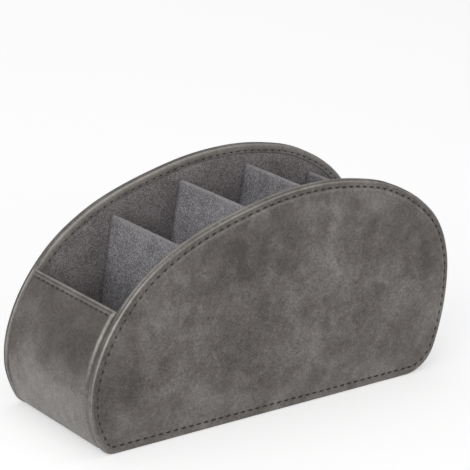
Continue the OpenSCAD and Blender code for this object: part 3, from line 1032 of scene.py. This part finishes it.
def layFelt():
    low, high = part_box("base_felt")
    size, middle = high - low, (high + low) / 2
    deselectAll()
    bpy.ops.mesh.primitive_cube_add(size=1, location=middle)
    sheet = bpy.context.object
    sheet.name = sheet.data.name = "base_felt_sheet"
    sheet.scale = size
    bpy.ops.object.transform_apply(location=True, rotation=True, scale=True)
    bpy.ops.object.mode_set(mode="EDIT")
    for k in range(1, felt["columns"]):
        bpy.ops.mesh.select_all(action="SELECT")
        bpy.ops.mesh.bisect(plane_co=(low.x + size.x * k / felt["columns"], 0, 0), plane_no=(1, 0, 0))
    for k in range(1, felt["rows"]):
        bpy.ops.mesh.select_all(action="SELECT")
        bpy.ops.mesh.bisect(plane_co=(0, low.y + size.y * k / felt["rows"], 0), plane_no=(0, 1, 0))
    endEdit()
    pick(sheet)
    softEdge = sheet.modifiers.new("soft edge", "BEVEL")
    softEdge.width = felt["softEdge"] * mm
    softEdge.segments = 2
    softEdge.limit_method = "ANGLE"
    bpy.ops.object.modifier_apply(modifier=softEdge.name)
    co = readPoints(sheet)
    for i in range(len(co)):
        if co[i, 2] < 0.2:
            co[i, 2] = max(0, co[i, 2] + felt["fuzz"] * (0.5 + drift(co[i], felt["fuzzSize"], 41)))
    writePoints(sheet, co)
    return sheet


feltSheet = layFelt()
finishPiece(feltSheet, "felt", "base_felt")
print("felt")


# materials
class Recipe:
    # a material's nodes, put together by short calls
    def __init__(self, name):
        self.material = bpy.data.materials.new(name)
        self.material.use_nodes = True
        self.tree = self.material.node_tree
        self.tree.nodes.clear()
        self.output = self.tree.nodes.new("ShaderNodeOutputMaterial")

    def link(self, a, b):
        self.tree.links.new(a, b)

    def put(self, socket, value):
        if isinstance(value, bpy.types.NodeSocket):
            self.link(value, socket)
        elif socket.type == "RGBA" and isinstance(value, tuple):
            socket.default_value = (*value, 1)
        elif value is not None:
            socket.default_value = value

    def node(self, kind, **values):
        # a node with its sockets set, or linked where the value is a socket
        made = self.tree.nodes.new(kind)
        for name, value in values.items():
            self.put(made.inputs[name.replace("_", " ")], value)
        return made

    def coords(self, location=(0, 0, 0), scale=(1, 1, 1)):
        place = self.node("ShaderNodeTexCoord").outputs["Object"]
        return self.node("ShaderNodeMapping", Vector=place, Location=location, Scale=scale).outputs["Vector"]

    def attribute(self, name):
        node = self.node("ShaderNodeAttribute")
        node.attribute_name = name
        return node.outputs["Fac"]

    def noise(self, vector, scale, detail=3.0, roughness=0.55, distortion=0.0):
        return self.node("ShaderNodeTexNoise", Vector=vector, Scale=scale, Detail=detail,
                         Roughness=roughness, Distortion=distortion).outputs["Fac"]

    def cells(self, vector, scale):
        return self.node("ShaderNodeTexVoronoi", Vector=vector, Scale=scale).outputs["Distance"]

    def math(self, kind, a, b=None, c=None, clamp=False):
        node = self.tree.nodes.new("ShaderNodeMath")
        node.operation = kind
        node.use_clamp = clamp
        for socket, value in zip(node.inputs, (a, b, c)):
            self.put(socket, value)
        return node.outputs[0]

    def blend(self, layers, weights, tone=0.0):
        for layer, weight in zip(layers, weights):
            tone = self.math("MULTIPLY_ADD", layer, weight, tone)
        return tone

    def spread(self, value, low, high, newLow=0.0, newHigh=1.0):
        return self.node("ShaderNodeMapRange", Value=value, From_Min=low, From_Max=high,
                         To_Min=newLow, To_Max=newHigh).outputs["Result"]

    def ramp(self, value, stops):
        stops = list(stops)
        node = self.node("ShaderNodeValToRGB", Fac=value)
        ramp = node.color_ramp
        while len(ramp.elements) < len(stops):
            ramp.elements.new(0.5)
        for element, (place, colour) in zip(ramp.elements, stops):
            element.position = place
            element.color = (*colour, 1)
        return node.outputs["Color"]

    def mix(self, share, a, b, kind="MIX"):
        node = self.tree.nodes.new("ShaderNodeMix")
        node.data_type = "RGBA"
        node.blend_type = kind
        self.put(node.inputs[0], share)
        self.put(node.inputs[6], a)
        self.put(node.inputs[7], b)
        return node.outputs[2]

    def bump(self, height, distance, strength=1.0, under=None):
        # distance in mm
        return self.node("ShaderNodeBump", Strength=strength, Distance=distance * mm, Height=height,
                         Normal=under).outputs["Normal"]

    def shader(self, colour, roughness, normal, **fixed):
        node = self.node("ShaderNodeBsdfPrincipled", Base_Color=colour, Roughness=roughness,
                         Normal=normal, **fixed)
        self.link(node.outputs["BSDF"], self.output.inputs["Surface"])
        return self.material


nubuck = {
    "dark": (0.066, 0.057, 0.054), "middle": (0.130, 0.116, 0.107), "pale": (0.247, 0.232, 0.219),
    # the palest tone of blotches and painted light, the pale of edge lines with painted highlight, and the
    # painted groove shade
    "blotch_and_painted_light": (0.42, 0.40, 0.385), "stretch_and_highlight": (0.46, 0.435, 0.40), "painted groove shade": (0.040, 0.036, 0.033),
    "stops": (0.36, 0.50, 0.66, 0.90),
    "clouds": 34, "patches": 105, "nap": 620, "grain": 1350, "pores": 1700,
    "fan": (0.62, 0.07),  # folds that fan out from the stitches: how fine along the rim and inwards
}


def nubuckLeather(name, shift, weights):
    n = nubuck
    r = Recipe(name)
    place = r.coords(location=shift)
    clouds = r.noise(place, n["clouds"], 2.5, 0.5, 0.4)
    patches = r.noise(place, n["patches"], 3.0, 0.55, 0.6)
    nap = r.noise(place, n["nap"], 2.0, 0.6, 0.2)
    grain = r.noise(place, n["grain"], 2.0, 0.7)
    tone = r.blend((clouds, patches, nap, grain), weights, 0.5 - sum(weights) / 2)
    # blotches in the leather, painted light and shade on broad areas, and a paler painted inner hem
    tone = r.math("MULTIPLY_ADD", r.attribute("blotch_and_painted_light"), 0.1, tone)
    colour = r.ramp(tone, zip(n["stops"], (n["dark"], n["middle"], n["pale"], n["blotch_and_painted_light"])))
    lengthwise = r.math("MULTIPLY", r.attribute("along"), n["fan"][0])
    inwards = r.math("MULTIPLY", r.attribute("inward"), n["fan"][1])
    fanPlace = r.node("ShaderNodeCombineXYZ", X=lengthwise, Y=inwards, Z=shift[0]).outputs[0]
    fan = r.noise(fanPlace, 1.0, 2.0, 0.5, 0.2)
    fan = r.math("MULTIPLY", r.math("SUBTRACT", fan, 0.5), r.attribute("crease"))
    # the folds are painted pale on their raised parts and dark in their hollows, a painted light and shade
    colour = r.mix(r.math("MULTIPLY", fan, 2.2, clamp=True), colour, n["pale"])
    colour = r.mix(r.math("MULTIPLY", fan, -2.6, clamp=True), colour, n["dark"])
    # the leather goes pale where it is pulled over an edge, partly a painted highlight
    wear_and_highlight = r.math("MULTIPLY", r.attribute("wear_and_highlight"), r.spread(patches, 0.3, 0.7, 0.75, 1.2))
    wear_and_highlight = r.math("MULTIPLY", wear_and_highlight, r.spread(nap, 0.3, 0.7, 0.8, 1.1), clamp=True)
    colour = r.mix(wear_and_highlight, colour, n["stretch_and_highlight"])
    # painted shade in the stitch grooves, the dip beside the rim and the gaps
    colour = r.mix(r.math("MULTIPLY", r.attribute("groove"), 0.55, clamp=True), colour, n["painted groove shade"])
    pores = r.spread(r.cells(place, n["pores"]), 0.0, 0.5)
    normal = r.bump(fan, 1.2)
    normal = r.bump(nap, 0.16, 1.0, normal)
    normal = r.bump(grain, 0.09, 1.0, normal)
    normal = r.bump(pores, 0.05, 0.8, normal)
    rough = r.spread(tone, 0.35, 0.65, 0.62, 0.46)
    return r.shader(colour, rough, normal, Specular_IOR_Level=0.5, Sheen_Weight=0.06, Sheen_Roughness=0.45)


suede = {
    "dark": (0.112, 0.101, 0.102), "middle": (0.212, 0.193, 0.194), "pale": (0.385, 0.352, 0.354),
    "brushed": 60, "fibre": 800, "speck": 1600, "weights": (0.2, 0.25, 0.55),
}


def suedeLining(name, shift):
    n = suede
    r = Recipe(name)
    place = r.coords(location=shift)
    brushed = r.noise(place, n["brushed"], 2, 0.5, 0.5)
    fibre = r.noise(place, n["fibre"], 1, 0.5)
    speck = r.noise(place, n["speck"], 1, 0.5)
    tone = r.blend((brushed, fibre, speck), n["weights"])
    colour = r.ramp(tone, [(0.39, n["dark"]), (0.5, n["middle"]), (0.61, n["pale"])])
    normal = r.bump(brushed, 0.3, 0.5, r.bump(fibre, 0.12))
    return r.shader(colour, r.spread(fibre, 0.3, 0.7, 0.95, 0.8), normal, Specular_IOR_Level=0.2,
                    Sheen_Weight=0.25, Sheen_Roughness=0.6)


velvet = {
    "dark": (0.125, 0.121, 0.131), "middle": (0.25, 0.243, 0.257), "pale": (0.46, 0.449, 0.469),
    # painted sheen on the top edge, multiplier of the painted light lower down, and painted shade at the ends
    "painted_sheen": (0.36, 0.34, 0.33), "lower_painted_light": (2.1, 2.1, 2.1), "corner": (0.05, 0.05, 0.055),
    "strokes": 95, "pile": 1500, "speck": 700, "weights": (0.15, 0.6, 0.25),
}


def dividerVelvet(name, shift):
    n = velvet
    r = Recipe(name)
    place = r.coords(location=shift)
    strokes = r.noise(place, n["strokes"], 2, 0.5, 0.4)
    pile = r.noise(place, n["pile"], 1, 0.5)
    speck = r.noise(place, n["speck"], 2, 0.6)
    tone = r.blend((strokes, pile, speck), n["weights"])
    colour = r.ramp(tone, [(0.40, n["dark"]), (0.5, n["middle"]), (0.60, n["pale"])])
    # painted sheen on the top edge, painted light lower down and painted shade where the cover meets the
    # panels
    colour = r.mix(r.math("MULTIPLY", r.attribute("wear_and_highlight"), 0.5, clamp=True), colour, n["painted_sheen"])
    colour = r.mix(r.attribute("lower_painted_light"), colour, n["lower_painted_light"], "MULTIPLY")
    colour = r.mix(r.math("MULTIPLY", r.attribute("corner"), 0.7, clamp=True), colour, n["corner"])
    normal = r.bump(strokes, 0.2, 0.4, r.bump(pile, 0.14))
    return r.shader(colour, r.spread(pile, 0.3, 0.7, 0.95, 0.78), normal, Specular_IOR_Level=0.25,
                    Sheen_Weight=0.4, Sheen_Roughness=0.35, Sheen_Tint=(0.80, 0.80, 0.84))


def twistedThread(name):
    dark, middle, pale = (0.014, 0.012, 0.012), (0.028, 0.025, 0.024), (0.05, 0.046, 0.043)
    r = Recipe(name)
    uv = r.node("ShaderNodeTexCoord").outputs["UV"]
    turned = r.node("ShaderNodeMapping", Vector=uv, Rotation=(0, 0, math.radians(38))).outputs["Vector"]
    ply = r.node("ShaderNodeTexWave", Vector=turned, Scale=5, Distortion=0.6).outputs["Fac"]
    fluff = r.noise(r.coords(), 3200, 2)
    colour = r.ramp(ply, [(0.0, dark), (0.6, middle), (1.0, pale)])
    normal = r.bump(fluff, 0.03, 1.0, r.bump(ply, 0.08))
    return r.shader(colour, r.spread(fluff, 0.3, 0.7, 0.6, 0.45), normal, Specular_IOR_Level=0.4)


def greyBoard(name):
    dark, middle, pale, fleck = (0.30, 0.23, 0.15), (0.42, 0.33, 0.22), (0.52, 0.43, 0.30), (0.20, 0.15, 0.10)
    r = Recipe(name)
    fibres = r.noise(r.coords(scale=(1, 1, 6)), 380, 4, 0.65, 0.5)
    flecks = r.cells(r.coords(), 900)
    colour = r.ramp(fibres, [(0.3, dark), (0.5, middle), (0.7, pale)])
    colour = r.mix(r.spread(flecks, 0.0, 0.25, 0.35, 0.0), colour, fleck)
    rough = r.spread(fibres, 0.3, 0.7, 0.9, 0.75)
    return r.shader(colour, rough, r.bump(fibres, 0.1), Specular_IOR_Level=0.25)


def darkFelt(name):
    dark, middle, pale = (0.006, 0.006, 0.006), (0.014, 0.014, 0.014), (0.034, 0.033, 0.033)
    r = Recipe(name)
    place = r.coords()
    fuzz = r.noise(place, 1400, 3, 0.7, 0.8)
    matted = r.noise(place, 160, 3, 0.6, 1.0)
    colour = r.ramp(r.blend((fuzz, matted), (0.6, 0.4)), [(0.35, dark), (0.5, middle), (0.68, pale)])
    return r.shader(colour, r.spread(fuzz, 0.3, 0.7, 1.0, 0.88), r.bump(fuzz, 0.2), Specular_IOR_Level=0.2,
                    Sheen_Weight=0.3, Sheen_Roughness=0.5)


def dress(obj, material):
    obj.data.materials.clear()
    obj.data.materials.append(material)


dress(frontLeather, nubuckLeather("nubuck_front", (0.31, 0.0, 0.12), (0.36, 0.27, 0.24, 0.42)))
dress(backLeather, nubuckLeather("nubuck_back", (-0.42, 0.1, 0.2), (0.36, 0.27, 0.24, 0.42)))
dress(bandLeather, nubuckLeather("nubuck_band", (0.17, -0.3, 0.4), (0.34, 0.22, 0.26, 0.26)))
liningFinish = suedeLining("suede_lining", (0.05, 0.02, 0.07))
for piece in (frontLining, backLining, bandLiningPiece):
    dress(piece, liningFinish)
for k, piece in enumerate(velvetCovers):
    dress(piece, dividerVelvet("velvet_%d" % (k + 1), (0.1 * k, 0.03, -0.07 * k)))
threadFinish = twistedThread("dark_thread")
for piece in seamPieces:
    dress(piece, threadFinish)
dress(feltSheet, darkFelt("dark_felt"))
boardFinish = greyBoard("fibreboard")
for name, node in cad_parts.items():
    if name.endswith("board"):
        for slot in node.material_slots:
            slot.material = boardFinish
        if not node.material_slots:
            node.data.materials.append(boardFinish)
print("materials")


# floor, light and camera
studio = {
    "floor": (0.80, 0.80, 0.80),  # bounce of the floor
    "paper": (0.455, 0.53),  # its own white near the front and at the back, which no shadow darkens
    "paperFrom": -0.5, "paperTo": 0.9,
    "world": 0.40, "aim": (0, 0, 0.06),
    "lamps": [  # name, place, size, power
        ("key_left", (-1.25, -1.15, 1.15), 0.9, 6),
        ("low_left", (-1.6, -0.35, 0.35), 0.9, 5.5),
        ("low_front", (-0.2, -1.7, 0.4), 0.9, 6),
        ("top", (0.1, 0.15, 1.7), 1.3, 4),
    ],
}


def layFloor():
    deselectAll()
    bpy.ops.mesh.primitive_plane_add(size=12, location=(0, 0, 0))
    floor = bpy.context.object
    floor.name = "floor"
    r = Recipe("pale_floor")
    diffuse = r.node("ShaderNodeBsdfDiffuse", Color=studio["floor"])
    # the camera and glossy surfaces also see the paper's own white
    path = r.node("ShaderNodeLightPath")
    seen = r.math("MAXIMUM", path.outputs["Is Camera Ray"], path.outputs["Is Glossy Ray"])
    depth = r.node("ShaderNodeSeparateXYZ", Vector=r.coords()).outputs[1]
    paper = r.spread(depth, studio["paperFrom"], studio["paperTo"], *studio["paper"])
    white = r.node("ShaderNodeEmission", Strength=r.math("MULTIPLY", seen, paper))
    both = r.node("ShaderNodeAddShader")
    r.link(diffuse.outputs["BSDF"], both.inputs[0])
    r.link(white.outputs["Emission"], both.inputs[1])
    r.link(both.outputs[0], r.output.inputs["Surface"])
    floor.data.materials.append(r.material)


def hangLamps():
    for name, place, size, power in studio["lamps"]:
        light = bpy.data.lights.new(name, "AREA")
        light.shape = "SQUARE"
        light.size = size
        light.energy = power
        lamp = bpy.data.objects.new(name, light)
        bpy.context.scene.collection.objects.link(lamp)
        lamp.location = place
        lamp.rotation_mode = "QUATERNION"
        lamp.rotation_quaternion = (Vector(studio["aim"]) - Vector(place)).to_track_quat("-Z", "Y")


def paintWorld():
    world = bpy.data.worlds.new("soft_room")
    bpy.context.scene.world = world
    world.use_nodes = True
    room = world.node_tree.nodes["Background"]
    room.inputs["Color"].default_value = (1, 1, 1, 1)
    room.inputs["Strength"].default_value = studio["world"]


view = {"place": (-0.6949, -0.9690, 0.4861), "yaw": 35.738, "pitch": 18.39, "roll": -0.61, "lens": 172.98,
        "sensor": 36, "near": 0.05, "far": 50}


def setCamera():
    data = bpy.data.cameras.new("camera")
    data.sensor_width = view["sensor"]
    data.lens = view["lens"]
    data.clip_start = view["near"]
    data.clip_end = view["far"]
    camera = bpy.data.objects.new("camera", data)
    bpy.context.scene.collection.objects.link(camera)
    yaw, pitch, roll = (math.radians(view[k]) for k in ("yaw", "pitch", "roll"))
    ahead = Vector((math.sin(yaw) * math.cos(pitch), math.cos(yaw) * math.cos(pitch), -math.sin(pitch)))
    right = Vector((math.cos(yaw), -math.sin(yaw), 0))
    down = ahead.cross(right)
    rolledRight = right * math.cos(roll) + down * math.sin(roll)
    rolledDown = down * math.cos(roll) - right * math.sin(roll)
    turn = Matrix((rolledRight, -rolledDown, -ahead)).transposed().to_4x4()
    camera.matrix_world = Matrix.Translation(Vector(view["place"])) @ turn
    bpy.context.scene.camera = camera


layFloor()
hangLamps()
paintWorld()
setCamera()
bpy.context.scene.view_settings.view_transform = "Standard"
print("floor, light and camera")
